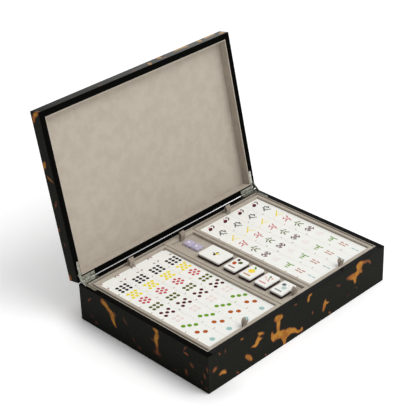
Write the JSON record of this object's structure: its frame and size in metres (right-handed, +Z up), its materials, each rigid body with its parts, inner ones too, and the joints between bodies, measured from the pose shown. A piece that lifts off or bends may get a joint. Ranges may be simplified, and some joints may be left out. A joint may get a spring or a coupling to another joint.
{
  "type": "mahjong case with lift-out trays",
  "caption": "Hinged lacquered game case with a suede-lined lid, two layers of lift-out trays with pull tabs, rows of tiles, display tiles and dice.",
  "frame": {"origin": "centre of the underside of the base, where the case rests", "axes": "+Z up, +X along the hinge line to the right, +Y from the front to the hinged back; the lid rests open"},
  "size_m": [0.422, 0.3764, 0.357],
  "materials": {
    "tortoiseshell_lacquer": "high-gloss lacquer over wood fibre board, black-brown with amber tortoiseshell patches, plain black rims",
    "panel_board": "black-stained fibre board",
    "suede": "taupe suede-like microfibre over board",
    "suede_ribbon": "taupe suede ribbon",
    "felt": "black felt",
    "polished_steel": "polished nickel plate",
    "tile_resin": "white melamine face on a dark maroon back, softly polished",
    "dice_resin": "lavender resin with white pips"
  },
  "bodies": {
    "base": {"base_front_wall": "tortoiseshell_lacquer", "base_back_wall": "tortoiseshell_lacquer", "base_left_wall": "tortoiseshell_lacquer", "base_right_wall": "tortoiseshell_lacquer", "base_bottom_panel": "panel_board", "base_underside_felt": "felt", "base_floor_lining": "suede", "base_liner_boards": "suede", "left_hinge_base_leaf": "polished_steel", "right_hinge_base_leaf": "polished_steel", "left_hinge_pin": "polished_steel", "right_hinge_pin": "polished_steel"},
    "lid": {"lid_front_wall": "tortoiseshell_lacquer", "lid_back_wall": "tortoiseshell_lacquer", "lid_left_wall": "tortoiseshell_lacquer", "lid_right_wall": "tortoiseshell_lacquer", "lid_top_panel": "tortoiseshell_lacquer", "lid_lining_panel": "suede", "lid_liner_boards": "suede", "left_hinge_lid_leaf": "polished_steel", "right_hinge_lid_leaf": "polished_steel", "stay_pivot_rivets": "polished_steel"},
    "left_stay": {"left_stay_link": "polished_steel", "left_stay_slider": "polished_steel"},
    "right_stay": {"right_stay_link": "polished_steel", "right_stay_slider": "polished_steel"},
    "lower_left_tray": {"lower_left_tray_frame": "suede", "lower_left_tray_floor": "suede", "lower_left_tray_pull_tabs": "suede_ribbon", "lower_left_tiles": "tile_resin"},
    "lower_centre_tray": {"lower_centre_tray_frame": "suede", "lower_centre_tray_floor": "suede", "lower_centre_tray_pull_tabs": "suede_ribbon"},
    "lower_right_tray": {"lower_right_tray_frame": "suede", "lower_right_tray_floor": "suede", "lower_right_tray_pull_tabs": "suede_ribbon", "lower_right_tiles": "tile_resin"},
    "upper_left_tray": {"upper_left_tray_frame": "suede", "upper_left_tray_floor": "suede", "upper_left_tray_pull_tabs": "suede_ribbon", "upper_left_tiles": "tile_resin"},
    "upper_centre_tray": {"upper_centre_tray_frame": "suede", "upper_centre_tray_floor": "suede", "upper_centre_tray_pull_tabs": "suede_ribbon", "centre_tray_insert": "suede"},
    "upper_right_tray": {"upper_right_tray_frame": "suede", "upper_right_tray_floor": "suede", "upper_right_tray_pull_tabs": "suede_ribbon", "upper_right_tiles": "tile_resin"},
    "large_tile": {"large_display_tile": "tile_resin"},
    "display_tile_1": {"display_tile_1": "tile_resin"},
    "display_tile_2": {"display_tile_2": "tile_resin"},
    "display_tile_3": {"display_tile_3": "tile_resin"},
    "display_tile_4": {"display_tile_4": "tile_resin"},
    "die_back": {"die_back": "dice_resin"},
    "die_front": {"die_front": "dice_resin"}
  },
  "joints": [
    {"name": "lid_hinge", "type": "hinge", "parent": "base", "child": "lid", "pos_m": [0, 0.1477, 0.0683], "axis": [-1, 0, 0], "range_deg": [-101.7, 0]},
    {"name": "left_stay_pivot", "type": "hinge", "parent": "lid", "child": "left_stay", "pos_m": [-0.2074, 0.15136, 0.08082], "axis": [-1, 0, 0], "range_deg": [0, 135.29]},
    {"name": "right_stay_pivot", "type": "hinge", "parent": "lid", "child": "right_stay", "pos_m": [0.2074, 0.15136, 0.08082], "axis": [-1, 0, 0], "range_deg": [0, 135.29]},
    {"name": "lower_left_tray_lift", "type": "slide", "parent": "base", "child": "lower_left_tray", "axis": [0, 0, 1], "range_m": [0, 0.06]},
    {"name": "upper_left_tray_lift", "type": "slide", "parent": "lower_left_tray", "child": "upper_left_tray", "axis": [0, 0, 1], "range_m": [0, 0.032]},
    {"name": "lower_centre_tray_lift", "type": "slide", "parent": "base", "child": "lower_centre_tray", "axis": [0, 0, 1], "range_m": [0, 0.06]},
    {"name": "upper_centre_tray_lift", "type": "slide", "parent": "lower_centre_tray", "child": "upper_centre_tray", "axis": [0, 0, 1], "range_m": [0, 0.032]},
    {"name": "lower_right_tray_lift", "type": "slide", "parent": "base", "child": "lower_right_tray", "axis": [0, 0, 1], "range_m": [0, 0.06]},
    {"name": "upper_right_tray_lift", "type": "slide", "parent": "lower_right_tray", "child": "upper_right_tray", "axis": [0, 0, 1], "range_m": [0, 0.032]},
    {"name": "large_tile_lift", "type": "slide", "parent": "upper_centre_tray", "child": "large_tile", "axis": [0, 0, 1], "range_m": [0, 0.016]},
    {"name": "display_tile_1_lift", "type": "slide", "parent": "upper_centre_tray", "child": "display_tile_1", "axis": [0, 0, 1], "range_m": [0, 0.016]},
    {"name": "display_tile_2_lift", "type": "slide", "parent": "upper_centre_tray", "child": "display_tile_2", "axis": [0, 0, 1], "range_m": [0, 0.016]},
    {"name": "display_tile_3_lift", "type": "slide", "parent": "upper_centre_tray", "child": "display_tile_3", "axis": [0, 0, 1], "range_m": [0, 0.016]},
    {"name": "display_tile_4_lift", "type": "slide", "parent": "upper_centre_tray", "child": "display_tile_4", "axis": [0, 0, 1], "range_m": [0, 0.016]},
    {"name": "die_back_lift", "type": "slide", "parent": "upper_centre_tray", "child": "die_back", "axis": [0, 0, 1], "range_m": [0, 0.016]},
    {"name": "die_front_lift", "type": "slide", "parent": "upper_centre_tray", "child": "die_front", "axis": [0, 0, 1], "range_m": [0, 0.016]}
  ],
  "couplings": [
    {"joint": "left_stay_pivot", "follows": "lid_hinge", "ratio": -1.3298},
    {"joint": "right_stay_pivot", "follows": "lid_hinge", "ratio": -1.3298}
  ]
}
